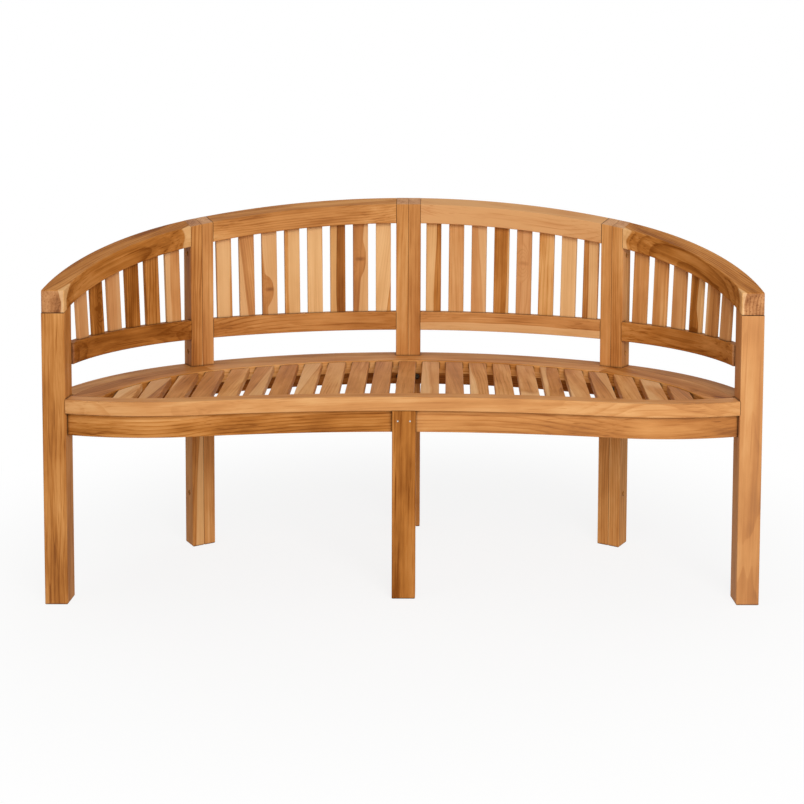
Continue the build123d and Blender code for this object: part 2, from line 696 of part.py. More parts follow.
right_side = {
    "front_post": [front_post_solid()],
    "arm_rear_post": [arm_rear_post()],
    "back_side_post": [back_side_post()],
    "back_centre_post": [back_centre_post()],
    "arm_top_rail": [arm_top_rail()],
    "back_top_rail": [back_top_rail()],
    "arm_lower_rail": [arm_lower_rail()],
    "back_lower_rail": [back_lower_rail()],
    "arm_slats": slat_set(arm_places),
    "back_slats": slat_set(back_places),
    "seat_arm_board": [rear_board(arm_half, arm_strip_bay)],
    "seat_back_board": [rear_board(back_half, back_bay)],
    "seat_arm_strip": [outer_strip(arm_strip_bay)],
    "seat_back_strip": [outer_strip(back_bay)],
    "front_apron": [front_apron()],
    "arm_apron": [rear_apron(arm_half, side_screws)],
    "back_apron": [rear_apron(back_half, side_screws + centre_screws)],
    "seat_slats": [seat_slat(index) for index in slat_indexes if index > 0],
}
for name, solids in right_side.items():
    save(f"{name}_right", solids)
    save(f"{name}_left", [mirrored(solid) for solid in solids])

save("seat_front_rail", [front_rail()])
save("seat_slat_centre", [seat_slat(0)])
save("centre_bearer", [centre_bearer()])
save("centre_front_leg", [centre_leg()])
save("leg_screws", [leg_screw(1), leg_screw(-1)])

side_post = (side_seam, SIDE_HALF_POST)
centre_post = (centre_seam, CENTRE_HALF_POST)
save("post_bolts", [*both_sides(post_bolts(*side_post)), *post_bolts(*centre_post)])
save("post_nuts", [*both_sides(post_nuts(*side_post)), *post_nuts(*centre_post)])
save("seat_coach_screws", both_sides([coach_screw(*spot) for spot in side_screws + centre_screws]))
right_tenons = [loose_tenon(side_joint), loose_tenon(front_joint)]
save("seat_loose_tenons", [*both_sides(right_tenons), loose_tenon(centre_joint)])
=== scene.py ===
# %% [markdown]
# # A curved garden bench in unfinished teak
# The bench's shapes and sizes come from its CAD model, which is loaded here as a fixed frame.
# This lesson gives each board its own piece of timber: grain that runs along the board, growth
# rings that the saw has cut through, and pale sapwood on some edges.

# %% Load the frame
import json
import math
import random

import bmesh
import bpy
import numpy as np
from mathutils import Matrix, Vector

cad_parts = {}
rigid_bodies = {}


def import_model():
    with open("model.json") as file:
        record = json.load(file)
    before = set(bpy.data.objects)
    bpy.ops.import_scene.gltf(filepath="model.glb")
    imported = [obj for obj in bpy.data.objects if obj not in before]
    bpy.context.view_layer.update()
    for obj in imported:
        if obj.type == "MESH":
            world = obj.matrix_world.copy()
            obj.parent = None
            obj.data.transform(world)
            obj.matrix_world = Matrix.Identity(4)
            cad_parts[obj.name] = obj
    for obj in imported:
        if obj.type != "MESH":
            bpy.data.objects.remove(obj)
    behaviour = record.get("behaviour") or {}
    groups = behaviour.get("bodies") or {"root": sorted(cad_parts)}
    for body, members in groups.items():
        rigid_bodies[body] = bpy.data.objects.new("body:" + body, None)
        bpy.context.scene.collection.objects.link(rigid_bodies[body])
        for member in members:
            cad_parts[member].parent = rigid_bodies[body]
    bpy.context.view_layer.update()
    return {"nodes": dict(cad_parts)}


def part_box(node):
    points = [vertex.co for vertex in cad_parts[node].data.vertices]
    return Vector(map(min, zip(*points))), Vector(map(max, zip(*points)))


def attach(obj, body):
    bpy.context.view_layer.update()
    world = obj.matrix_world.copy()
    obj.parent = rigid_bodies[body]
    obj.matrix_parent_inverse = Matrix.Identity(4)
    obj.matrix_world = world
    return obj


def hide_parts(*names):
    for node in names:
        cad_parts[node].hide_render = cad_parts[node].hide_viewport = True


for thing in list(bpy.data.objects):
    bpy.data.objects.remove(thing)

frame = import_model()

# %% [markdown]
# ## Two helpers
# Colours are written as the sRGB hex values that a screen shows, and Blender's nodes work in linear
# light, so one function converts them. Another adds a node, sets its properties and fills or links
# its inputs. It serves materials and Geometry Nodes alike, which keeps each tree short enough to read.

# %% Colour and node helpers
MM = 0.001


def srgb(code):
    """Linear RGBA of an sRGB hex colour."""
    channels = [int(code[i : i + 2], 16) / 255 for i in (1, 3, 5)]
    linear = [c / 12.92 if c <= 0.04045 else ((c + 0.055) / 1.055) ** 2.4 for c in channels]
    return (*linear, 1.0)


def add(tree, kind, inputs=None, stops=(), **settings):
    """Add a node, set its properties, and set or link its inputs by name or number.

    stops are the (place, hex colour) pairs of a colour ramp.
    """
    node = tree.nodes.new(kind)
    for name, value in settings.items():
        setattr(node, name, value)
    for number, (place, code) in enumerate(stops):
        marks = node.color_ramp.elements
        mark = marks[number] if number < len(marks) else marks.new(place)
        mark.position = place
        mark.color = srgb(code)
    for key, value in (inputs or {}).items():
        if isinstance(value, bpy.types.NodeSocket):
            tree.links.new(value, node.inputs[key])
        else:
            node.inputs[key].default_value = value
    return node


print("mid teak in linear light:", [round(c, 3) for c in srgb("#C98B54")])

# %% [markdown]
# ## Teak
# Unfinished teak is an oily, straight-grained hardwood, sanded smooth and left bare. It gives the eye
# a satin surface, honey to brown heartwood with fine darker lines, and pale sapwood with a crisp edge.
# A flat picture of wood would smear on curved rails, so the pattern is solid: rings about a pith line
# that lies outside each board, cut by the board's own faces. That draws straight lines on one face,
# arched figure on another and arcs on the end grain, as sawing does.
# Four attributes on each board drive it: "grain" is the place in the log, with x along the fibres and
# y and z from the pith; "board" holds the tone, the radius where sapwood starts and the pinkness;
# "along" is the fibres' direction, for the duller end grain; "knot" is the way from the board's knot.

# %% Growth rings
RING_WIDTH, RING_WANDER = 6 * MM, 18 * MM
# (share of the ring's width, darkness there)
LATEWOOD = ((0.55, 0.1), (0.86, 0.9), (0.94, 1.0))
# A pattern of noise: length of one blot along the fibres, its width across them, finer detail
FIGURE = (320 * MM, 70 * MM, 2.0)
KNOT_STRETCH, KNOT_REACH, KNOT_SWELL = 2.2, 26 * MM, 22 * MM


def drawn_out(tree, grain, pattern):
    """Noise drawn out along the fibres."""
    length, width, detail = pattern
    scaled = add(tree, "ShaderNodeVectorMath", {0: grain, 1: (1 / length, 1 / width, 1 / width)},
                 operation="MULTIPLY")
    noise = add(tree, "ShaderNodeTexNoise",
                {"Vector": scaled.outputs[0], "Scale": 1.0, "Detail": detail})
    return noise.outputs["Fac"]


def away_from(tree, knot, stretch):
    """Distance from the knot, which runs through the board's thickness."""
    flat = add(tree, "ShaderNodeVectorMath", {0: knot, 1: (*stretch, 0)}, operation="MULTIPLY")
    return add(tree, "ShaderNodeVectorMath", {0: flat.outputs[0]}, operation="LENGTH").outputs["Value"]


def ring_radius(tree, grain, knot):
    """Distance from the pith, with the wander of a real trunk and a swerve round the knot."""
    across = add(tree, "ShaderNodeVectorMath", {0: grain, 1: (0, 1, 1)}, operation="MULTIPLY")
    radius = add(tree, "ShaderNodeVectorMath", {0: across.outputs[0]}, operation="LENGTH")
    figure = drawn_out(tree, grain, FIGURE)
    wander = add(tree, "ShaderNodeMath", {0: figure, 1: RING_WANDER, 2: radius.outputs["Value"]},
                 operation="MULTIPLY_ADD")
    swerve = add(tree, "ShaderNodeMapRange",
                 {"Value": away_from(tree, knot, (1 / KNOT_STRETCH, 1)), "From Max": KNOT_REACH,
                  "To Min": -KNOT_SWELL, "To Max": 0.0}, interpolation_type="SMOOTHERSTEP")
    both = add(tree, "ShaderNodeMath", {0: wander.outputs[0], 1: swerve.outputs[0]}, operation="ADD")
    return both.outputs[0], figure


def latewood_lines(tree, radius):
    """Growth rings: each darkens slowly towards its latewood line and starts again pale."""
    turns = add(tree, "ShaderNodeMath", {0: radius, 1: 1 / RING_WIDTH}, operation="MULTIPLY")
    phase = add(tree, "ShaderNodeMath", {0: turns.outputs[0]}, operation="FRACT")
    latewood = add(tree, "ShaderNodeFloatCurve", {"Value": phase.outputs[0]})
    curve = latewood.mapping.curves[0]
    for place, darkness in LATEWOOD:
        curve.points.new(place, darkness)
    curve.points[-1].location = (1.0, 0.0)
    latewood.mapping.update()
    return latewood.outputs[0]


print("rings:", round(RING_WIDTH / MM, 1), "mm wide, wandering", round(RING_WANDER / MM, 1), "mm")

# %% [markdown]
# ## Tone and colour of the wood
# Teak darkens and pales in several ways at once: broad clouds, long bands, thin streaks, dark veins
# and fine pores. Each is its own noise with its own size, and they add up to one tone, which picks the
# colour from a ramp. Past the sapwood's radius a paler ramp takes over. Some boards have a pink cast.

# %% Tone of the heartwood
CLOUDS = (120 * MM, 40 * MM, 3.0)
BANDS = (500 * MM, 24 * MM, 2.0)
STREAKS = (220 * MM, 5 * MM, 4.0)
VEINS = (320 * MM, 3.2 * MM, 1.0)
# Teak's pores are about 0.2 mm wide. They are drawn wider here, so that they show from a step away.
PORES = (25 * MM, 0.9 * MM, 2.0)
WEIGHTS = {"clouds": 0.8, "bands": 1.0, "streaks": 0.5, "pores": 0.22, "rings": 0.26, "veins": 0.28,
           "knot": 0.6}
MEAN_PATTERN = 1.3
# Noise at which rings, and veins, start to show and show in full
RINGS_FROM, RINGS_FULL = 0.4, 0.62
VEINS_FROM, VEINS_FULL = 0.61, 0.71
KNOT_SPIKE, KNOT_CORE = 0.45, 7 * MM


def heartwood_tone(tree, grain, knot, lines, figure, pores, board_tone):
    """The board's own tone, moved by each pattern."""
    clear = add(tree, "ShaderNodeMapRange",
                {"Value": figure, "From Min": RINGS_FROM, "From Max": RINGS_FULL})
    rings = add(tree, "ShaderNodeMath", {0: lines, 1: clear.outputs[0]}, operation="MULTIPLY")
    veins = add(tree, "ShaderNodeMapRange", {"Value": drawn_out(tree, grain, VEINS),
                                             "From Min": VEINS_FROM, "From Max": VEINS_FULL})
    core = add(tree, "ShaderNodeMapRange",
               {"Value": away_from(tree, knot, (1, KNOT_SPIKE)), "From Max": KNOT_CORE,
                "To Min": 1.0, "To Max": 0.0})
    patterns = {
        "clouds": drawn_out(tree, grain, CLOUDS),
        "bands": drawn_out(tree, grain, BANDS),
        "streaks": drawn_out(tree, grain, STREAKS),
        "pores": pores,
        "rings": rings.outputs[0],
        "veins": veins.outputs[0],
        "knot": core.outputs[0],
    }
    tone = board_tone
    for name, pattern in patterns.items():
        tone = add(tree, "ShaderNodeMath", {0: pattern, 1: WEIGHTS[name], 2: tone},
                   operation="MULTIPLY_ADD").outputs[0]
    return add(tree, "ShaderNodeMath", {0: tone, 1: MEAN_PATTERN}, operation="SUBTRACT").outputs[0]


print("patterns in the tone:", list(WEIGHTS))

# %% Colour of the wood
HEARTWOOD = ((0.0, "#E2AB6C"), (0.33, "#CD8D4B"), (0.66, "#AF6D2C"), (1.0, "#80450D"))
SAPWOOD = ((0.0, "#EEBF86"), (1.0, "#D0985A"))
PINK_WOOD = "#CD9466"
SAP_EDGE = 0.9 * MM


def wood_colour(tree, tone, radius, sapwood_radius, pinkness):
    """Heartwood, or sapwood where the board reaches the outer rings of the log, with its pink cast."""
    heart = add(tree, "ShaderNodeValToRGB", {"Fac": tone}, stops=HEARTWOOD)
    pale = add(tree, "ShaderNodeValToRGB", {"Fac": tone}, stops=SAPWOOD)
    beyond = add(tree, "ShaderNodeMath", {0: radius, 1: sapwood_radius}, operation="SUBTRACT")
    sapwood = add(tree, "ShaderNodeMapRange",
                  {"Value": beyond.outputs[0], "From Min": -SAP_EDGE, "From Max": SAP_EDGE},
                  interpolation_type="SMOOTHSTEP")
    colour = add(tree, "ShaderNodeMix",
                 {0: sapwood.outputs[0], 6: heart.outputs[0], 7: pale.outputs[0]}, data_type="RGBA")
    return add(tree, "ShaderNodeMix", {0: pinkness, 6: colour.outputs[2], 7: srgb(PINK_WOOD)},
               data_type="RGBA").outputs[2]


print("heartwood shades:", [code for _, code in HEARTWOOD])

# %% [markdown]
# ## End grain, shade and surface
# End grain is duller than the long faces, so colour fades where a face looks along the fibres. Shade
# is painted into the colour where boards meet, soft in the corners and crisp in the seams, where
# Ambient Occlusion finds it at two distances. Sanding leaves the pores open and the latewood slightly
# raised.

# %% Teak
END_FROM, END_FULL, END_SATURATION = 0.6, 0.95, 0.87
# Colour of the shade painted into the corners and seams
PAINTED_SHADE = "#3A2210"
CORNER_SHADE, SEAM_SHADE = 8 * MM, 2.5 * MM
# (distance, open sky at which shade is full, open sky at which there is none)
SHADES = ((CORNER_SHADE, 0.35, 0.85), (SEAM_SHADE, 0.5, 0.95))
FULL_SHADE = 0.7
SHADE_SAMPLES = 8
PORE_DEPTH, RELIEF_STRENGTH, LATEWOOD_RISE = 0.25 * MM, 0.35, 0.35
SMOOTHEST, ROUGHEST = 0.5, 0.68
WOOD_IOR, WOOD_SPECULAR = 1.5, 0.12


def shaded(tree, colour, along):
    """The wood's colour, duller on the end grain, with shade painted darker into the corners and seams.
    """
    normal = add(tree, "ShaderNodeNewGeometry").outputs["Normal"]
    facing = add(tree, "ShaderNodeVectorMath", {0: along, 1: normal}, operation="DOT_PRODUCT")
    facing = add(tree, "ShaderNodeMath", {0: facing.outputs["Value"]}, operation="ABSOLUTE")
    end = add(tree, "ShaderNodeMapRange",
              {"Value": facing.outputs[0], "From Min": END_FROM, "From Max": END_FULL})
    colour = add(tree, "ShaderNodeHueSaturation",
                 {"Fac": end.outputs[0], "Color": colour, "Saturation": END_SATURATION}).outputs[0]
    # Painted shade: Ambient Occlusion darkens the colour in the corners and seams
    for distance, full, none in SHADES:
        open_sky = add(tree, "ShaderNodeAmbientOcclusion", {"Distance": distance}, samples=SHADE_SAMPLES)
        shade = add(tree, "ShaderNodeMapRange",
                    {"Value": open_sky.outputs["AO"], "From Min": full, "From Max": none,
                     "To Min": FULL_SHADE, "To Max": 0.0})
        colour = add(tree, "ShaderNodeMix", {0: shade.outputs[0], 6: colour, 7: srgb(PAINTED_SHADE)},
                     data_type="RGBA").outputs[2]
    return colour


def teak():
    """Bare sanded teak."""
    material = bpy.data.materials.new("teak_bare_sanded")
    material.use_nodes = True
    tree = material.node_tree
    shader = tree.nodes["Principled BSDF"]
    grain, board, along, knot = (
        add(tree, "ShaderNodeAttribute", attribute_name=name).outputs["Vector"]
        for name in ("grain", "board", "along", "knot")
    )
    board_tone, sapwood_radius, pinkness = add(tree, "ShaderNodeSeparateXYZ", {0: board}).outputs
    radius, figure = ring_radius(tree, grain, knot)
    lines = latewood_lines(tree, radius)
    pores = drawn_out(tree, grain, PORES)
    tone = heartwood_tone(tree, grain, knot, lines, figure, pores, board_tone)
    colour = wood_colour(tree, tone, radius, sapwood_radius, pinkness)
    relief = add(tree, "ShaderNodeMath", {0: lines, 1: LATEWOOD_RISE, 2: pores},
                 operation="MULTIPLY_ADD")
    bump = add(tree, "ShaderNodeBump", {"Strength": RELIEF_STRENGTH, "Distance": PORE_DEPTH,
                                        "Height": relief.outputs[0]})
    gloss = add(tree, "ShaderNodeMapRange",
                {"Value": pores, "To Min": SMOOTHEST, "To Max": ROUGHEST})
    tree.links.new(shaded(tree, colour, along), shader.inputs["Base Color"])
    tree.links.new(bump.outputs[0], shader.inputs["Normal"])
    tree.links.new(gloss.outputs[0], shader.inputs["Roughness"])
    shader.inputs["IOR"].default_value = WOOD_IOR
    shader.inputs["Specular IOR Level"].default_value = WOOD_SPECULAR
    return material


TEAK = teak()
print("material:", TEAK.name, "nodes:", len(TEAK.node_tree.nodes))

# %% [markdown]
# ## Stainless steel
# The bolts and screws are stainless steel, turned and left brushed by the tool. It gives the eye a
# grey metal with soft, slightly uneven reflections. A fine noise in the roughness is enough at this
# size. Shade is painted darker into the steel in its recesses. The coach screws under the seat are the
# same steel in a dark colour, which is painted shade for the dark under the seat.

# %% Stainless steel
TOOL_MARK = 0.6 * MM
BRIGHTEST, DULLEST = 0.22, 0.42
DARK_AT, LIGHT_AT = 0.3, 0.7
STEEL_SHADE = "#3A2A1C"
# Open sky at which the painted shade is full and at which there is none, and how far full shade covers
# the steel
STEEL_SHADE_FULL, STEEL_SHADE_NONE, STEEL_SHADE_COVER = 0.1, 0.5, 0.9


def stainless(name, dark, light):
    """Turned stainless steel between two colours, with shade painted darker into its recesses."""
    material = bpy.data.materials.new(name)
    material.use_nodes = True
    tree = material.node_tree
    shader = tree.nodes["Principled BSDF"]
    place = add(tree, "ShaderNodeTexCoord").outputs["Object"]
    marks = add(tree, "ShaderNodeTexNoise",
                {"Vector": place, "Scale": 1 / TOOL_MARK, "Detail": 2.0}).outputs["Fac"]
    gloss = add(tree, "ShaderNodeMapRange", {"Value": marks, "To Min": BRIGHTEST, "To Max": DULLEST})
    colour = add(tree, "ShaderNodeValToRGB", {"Fac": marks},
                 stops=[(DARK_AT, dark), (LIGHT_AT, light)])
    # Painted shade: Ambient Occlusion darkens the steel in its recesses
    open_sky = add(tree, "ShaderNodeAmbientOcclusion", {"Distance": CORNER_SHADE},
                   samples=SHADE_SAMPLES)
    recess_shade = add(tree, "ShaderNodeMapRange",
                 {"Value": open_sky.outputs["AO"], "From Min": STEEL_SHADE_FULL, "From Max": STEEL_SHADE_NONE,
                  "To Min": STEEL_SHADE_COVER, "To Max": 0.0})
    shaded_in_recesses = add(tree, "ShaderNodeMix", {0: recess_shade.outputs[0], 6: colour.outputs[0], 7: srgb(STEEL_SHADE)},
                 data_type="RGBA")
    tree.links.new(gloss.outputs[0], shader.inputs["Roughness"])
    tree.links.new(shaded_in_recesses.outputs[2], shader.inputs["Base Color"])
    shader.inputs["Metallic"].default_value = 1.0
    return material


STEEL = stainless("stainless_steel_turned", "#CFCFCB", "#E6E6E2")
# The coach screws' steel is painted dark: painted shade for the dark under the seat
SHADE_DARKENED_STEEL = stainless("stainless_steel_dark_painted_shade", "#3E352B", "#574C40")
print("materials:", STEEL.name, SHADE_DARKENED_STEEL.name)

# %% [markdown]
# ## From CAD node to boards
# A CAD node is a mesh of loose triangles, and some nodes hold several boards. A copy is merged first,
# so that neighbouring triangles share points, and is then split into its separate boards.
# Each board's longest direction is where its fibres run. A curved rail is sawn from a plank whose grain
# bends the same way, so its fibres lie between the chord and the curve.

# %% Merge a node and find its boards
MERGE = 0.002 * MM


def merged(node):
    """A merged copy of a CAD node's mesh, without its old normals."""
    shape = bmesh.new()
    shape.from_mesh(frame["nodes"][node].data)
    bmesh.ops.remove_doubles(shape, verts=shape.verts, dist=MERGE)
    mesh = bpy.data.meshes.new(node)
    shape.to_mesh(mesh)
    shape.free()
    old = mesh.attributes.get("custom_normal")
    if old:
        mesh.attributes.remove(old)
    return mesh


def boards_in(mesh):
    """Lists of point numbers, one list for each separate board."""
    neighbours = [[] for _ in mesh.vertices]
    for edge in mesh.edges:
        a, b = edge.vertices
        neighbours[a].append(b)
        neighbours[b].append(a)
    seen = set()
    boards = []
    for start in range(len(neighbours)):
        if start in seen:
            continue
        seen.add(start)
        board = [start]
        for point in board:
            fresh = [n for n in neighbours[point] if n not in seen]
            seen.update(fresh)
            board.extend(fresh)
        boards.append(sorted(board))
    return boards


def middle_and_fibres(mesh, board):
    """Middle of a board, and its longest direction, from its surface."""
    own = np.zeros(len(mesh.vertices), bool)
    own[board] = True
    points = np.array([v.co for v in mesh.vertices])
    faces = [p for p in mesh.polygons if own[p.vertices[0]]]
    middles = points[np.array([p.vertices for p in faces])].mean(axis=1)
    areas = np.array([p.area for p in faces])
    centre = np.average(middles, axis=0, weights=areas)
    spread = np.cov((middles - centre).T, aweights=areas)
    fibres = np.linalg.eigh(spread)[1][:, -1]
    return centre, fibres * np.sign(fibres[np.abs(fibres).argmax()])


print("boards in seat_slats_left:", len(boards_in(merged("seat_slats_left"))))

# %% [markdown]
# ## A place in the log for each board
# Every board gets its own log: how far its middle lies from the pith and in which direction, how much
# the fibres lean across it, and how dark it is. The numbers are drawn from a generator that is seeded
# with the board's name, so each run gives the same bench. Long rails and posts were picked for even
# colour. The slats are short stuff in all tones, so the ones that face the eye are listed one by one,
# and so are the few rails and posts that show sapwood.

# %% Timber of each kind of piece
TIMBER = {
    # piece: (tone from 0, pale, to 1, dark; spread of tone; share of boards with sapwood; pinkness)
    "front_post_left": (0.52, 0.0, 0.0, 0.05),
    "front_post_right": (0.46, 0.0, 0.0, 0.5),
    "arm_rear_post_right": (0.34, 0.0, 0.0, 0.15),
    "back_side_post_right": (0.34, 0.0, 0.0, 0.2),
    "back_centre_post": (0.48, 0.03, 0.0, 0.10),
    "centre_front_leg": (0.72, 0.0, 0.0, 0.0),
    "back_top_rail_left": (0.42, 0.0, 0.0, 0.1),
    "back_top_rail_right": (0.05, 0.0, 0.0, 0.45),
    "arm_lower_rail_left": (0.80, 0.0, 0.0, 0.0),
    "arm_lower_rail_right": (0.64, 0.0, 0.0, 0.0),
    "back_lower_rail_left": (0.54, 0.0, 0.0, 0.05),
    "seat_front_rail": (0.30, 0.0, 0.0, 0.25),
    "seat_arm_board": (0.62, 0.05, 0.0, 0.0),
    "seat_back_board": (0.32, 0.05, 0.0, 0.05),
    "seat_slats": (0.44, 0.26, 0.65, 0.25),
    "seat_slat_centre": (0.50, 0.0, 0.0, 0.20),
    "front_apron_left": (0.60, 0.0, 0.0, 0.0),
    "front_apron_right": (0.56, 0.0, 0.0, 0.25),
    # The aprons and the bearer under the seat get the darkest tone, which is painted shade for the dark
    # under the seat
    "arm_apron": (0.90, 0.05, 0.0, 0.0),
    "back_apron": (0.90, 0.05, 0.0, 0.0),
    "centre_bearer": (0.90, 0.0, 0.0, 0.0),
}
COMMON_TIMBER = (0.52, 0.08, 0.1, 0.05)
print("kinds of timber:", len(TIMBER))

# %% Boards listed one by one
PICKED = {
    # board, counted from the middle of the bench outwards: (tone; pinkness; edge with sapwood, which
    # is left, right, in, towards the sitter, or down; depth of the sapwood in mm; its slant in mm to
    # the right for each metre of rise; height of a knot as a share of the length)
    "back_slats_left 0": (0.40, 0.0, "left", 25, 130, None),
    "back_slats_left 1": (0.58, 0.2, "right", 25, 60, 0.58),
    "back_slats_left 2": (0.74, 0.0, "left", 17, 0, None),
    "back_slats_left 3": (0.30, 0.0, "left", 36, 0, None),
    "back_slats_left 4": (0.46, 0.0, "right", 28, 0, None),
    "back_slats_left 5": (0.58, 0.2, "right", 24, -60, 0.32),
    "back_slats_left 6": (0.36, 0.3, "left", 22, -120, None),
    "back_slats_left 7": (0.40, 0.1, "left", 33, 0, None),
    "back_slats_right 0": (0.60, 0.0, "left", 21, 15, None),
    "back_slats_right 1": (0.26, 0.3, None, 0, 0, None),
    "back_slats_right 2": (0.34, 0.4, "right", 8, -60, None),
    "back_slats_right 3": (0.72, 0.0, "right", 8, 20, None),
    "back_slats_right 4": (0.24, 0.5, None, 0, 0, 0.58),
    "back_slats_right 5": (0.18, 0.0, None, 0, 0, None),
    "back_slats_right 6": (0.34, 0.1, "left", 40, 0, None),
    "back_slats_right 7": (0.62, 0.1, "right", 21, 0, None),
    "arm_slats_left 0": (0.46, 0.3, "left", 13, 0, None),
    "arm_slats_left 1": (0.60, 0.0, None, 0, 0, None),
    "arm_slats_left 2": (0.74, 0.0, None, 0, 0, None),
    "arm_slats_left 3": (0.34, 0.5, "right", 12, 0, None),
    "arm_slats_left 4": (0.80, 0.0, None, 0, 0, 0.5),
    "arm_slats_left 5": (0.20, 0.5, None, 0, 0, None),
    "arm_slats_right 0": (0.32, 0.2, None, 0, 0, None),
    "arm_slats_right 1": (0.34, 0.2, None, 0, 0, None),
    "arm_slats_right 2": (0.26, 0.4, None, 0, 0, None),
    "arm_slats_right 3": (0.76, 0.0, "right", 18, 60, 0.1),
    "arm_slats_right 4": (0.42, 0.2, "left", 10, 0, None),
    "arm_slats_right 5": (0.22, 0.4, None, 0, 0, None),
    "arm_top_rail_left 0": (0.69, 0.0, "in", 9, 0, None),
    "arm_top_rail_right 0": (0.58, 0.0, "in", 6, 0, None),
    "back_lower_rail_right 0": (0.46, 0.2, "down", 20, 0, None),
    "arm_rear_post_left 0": (0.66, 0.1, "right", 2, 30, None),
    "back_side_post_left 0": (0.40, 0.2, "left", 5, -12, None),
}
print("picked boards:", len(PICKED))

# %% Draw a board's timber
PITH_NEAR, PITH_FAR = 45 * MM, 140 * MM
FIBRE_LEAN = 0.03
LOG_LENGTH = 20.0
PINKNESS_VARIES = (0.4, 1.6)
SAPWOOD_VARIES = (0.2, 1.3)
# Far enough away to show nowhere on the board
NO_SAPWOOD = 10.0
NO_KNOT = (9.0, 9.0, 9.0)


def picked_edge(node, number):
    """The edge that holds a picked board's sapwood, or None."""
    return PICKED.get(f"{node} {number}", (None,) * 3)[2]


def timber(node, number, length, reach):
    """One board's place in its log, fibres' lean, tone, sapwood radius and pinkness, and knot.

    reach is how far the board's edge lies from its middle, in the direction of the bark.
    """
    kind = node.removesuffix("_left").removesuffix("_right")
    mean, spread, sap_share, pinkness = TIMBER.get(node, TIMBER.get(kind, COMMON_TIMBER))
    draw = random.Random(f"{node} {number}")
    radius = draw.uniform(PITH_NEAR, PITH_FAR)
    turn = draw.uniform(0, 2 * math.pi)
    start = draw.uniform(0, LOG_LENGTH)
    lean = [draw.uniform(-FIBRE_LEAN, FIBRE_LEAN) for _ in range(2)]
    tone = mean + draw.uniform(-spread, spread)
    pinkness *= draw.uniform(*PINKNESS_VARIES)
    depth = draw.uniform(*SAPWOOD_VARIES) * reach if draw.random() < sap_share else None
    knot = NO_KNOT
    if f"{node} {number}" in PICKED:
        tone, pinkness, edge, depth, slant, height = PICKED[f"{node} {number}"]
        turn = math.pi if edge == "left" else 0.0 if edge else turn
        lean = [-slant * MM, 0.0] if edge else lean
        depth = depth * MM if edge else None
        knot = (height * length, 0.0, 0.0) if height else NO_KNOT
    sapwood = radius + reach - depth + RING_WANDER / 2 if depth else NO_SAPWOOD
    place = (start, radius * math.cos(turn), radius * math.sin(turn))
    return place, (1.0, *lean), (tone, sapwood, pinkness), knot


one_slat = timber("back_slats_left", 0, 0.2, 0.02)
print("timber of one slat:", [[round(x, 3) for x in part] for part in one_slat])

# %% [markdown]
# ## Posts, rails and boards
# These pieces keep the CAD shapes, down to their mortises, and get the four attributes. The flat faces
# have to shade flat beside the eased edges, so a Weighted Normal modifier lets the largest faces decide
# how the light turns at each edge. The result is made plain mesh, and stands for its CAD node.

# %% Make a piece and finish it
SHARP_ANGLE = math.radians(40)


def store(mesh, name, values):
    """Write one vector for each point."""
    layer = mesh.attributes.new(name, "FLOAT_VECTOR", "POINT")
    layer.data.foreach_set("vector", np.asarray(values, np.float32).ravel())


def plain(piece):
    """Turn a piece's modifiers into plain mesh."""
    graph = bpy.context.evaluated_depsgraph_get()
    mesh = bpy.data.meshes.new_from_object(
        piece.evaluated_get(graph), preserve_all_data_layers=True, depsgraph=graph
    )
    piece.modifiers.clear()
    piece.data = mesh


def new_piece(name, mesh):
    """A new object at the origin."""
    piece = bpy.data.objects.new(name, mesh)
    bpy.context.scene.collection.objects.link(piece)
    return piece


def shade_flat_faces(piece):
    """Smooth over the eased edges only, with flat faces left flat."""
    piece.data.shade_smooth()
    piece.data.set_sharp_from_angle(angle=SHARP_ANGLE)
    weighted = piece.modifiers.new("flat_faces", "WEIGHTED_NORMAL")
    weighted.keep_sharp = True
    weighted.mode = "FACE_AREA"
    plain(piece)


def stand_for(piece, node):
    """Let a finished piece take its CAD node's place."""
    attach(piece, "root")
    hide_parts(node)


print("edges sharper than", round(math.degrees(SHARP_ANGLE)), "degrees stay sharp")

# %% Dress the CAD boards
BENCH_MIDDLE = np.array((0.0, -0.2, 0.45))
SIDEWAYS, DOWN = np.array((1.0, 0, 0)), np.array((0, 0, -1.0))
INWARD_RISE = (0, 0, 0.25)
ANY_WAY = np.array((0.31, 0.52, 0.79))
CURVED = ("rail", "board", "strip", "apron")
FIBRE_FOLLOW = 0.5
BEND_DEGREE = 4
STEEL_NODES = ("leg_screws", "post_bolts", "post_nuts", "seat_coach_screws")
SLAT_NODES = [f"{row}_slats_{side}" for row in ("arm", "back") for side in ("left", "right")]


def towards_bark(edge, centre, fibres):
    """Direction across the fibres to the edge that holds sapwood, or any direction across them.

    Left and right share one direction, because timber() turns the log round for a left edge.
    """
    inwards = (BENCH_MIDDLE - centre) * (1, 1, 0)
    inwards = inwards / np.linalg.norm(inwards)
    ways = {"in": inwards + INWARD_RISE, "down": DOWN, "left": SIDEWAYS, "right": SIDEWAYS}
    across = ways.get(edge, ANY_WAY)
    across = across - fibres * (across @ fibres)
    return across / np.linalg.norm(across)


def straightened(local):
    """A curved board's points with part of its bend taken out, as its fibres follow the curve in part."""
    run = local[:, 0]
    bent = local.copy()
    for axis in (1, 2):
        curve = np.polyfit(run, local[:, axis], BEND_DEGREE)
        curve[-2:] = 0
        bent[:, axis] -= FIBRE_FOLLOW * np.polyval(curve, run)
    return bent


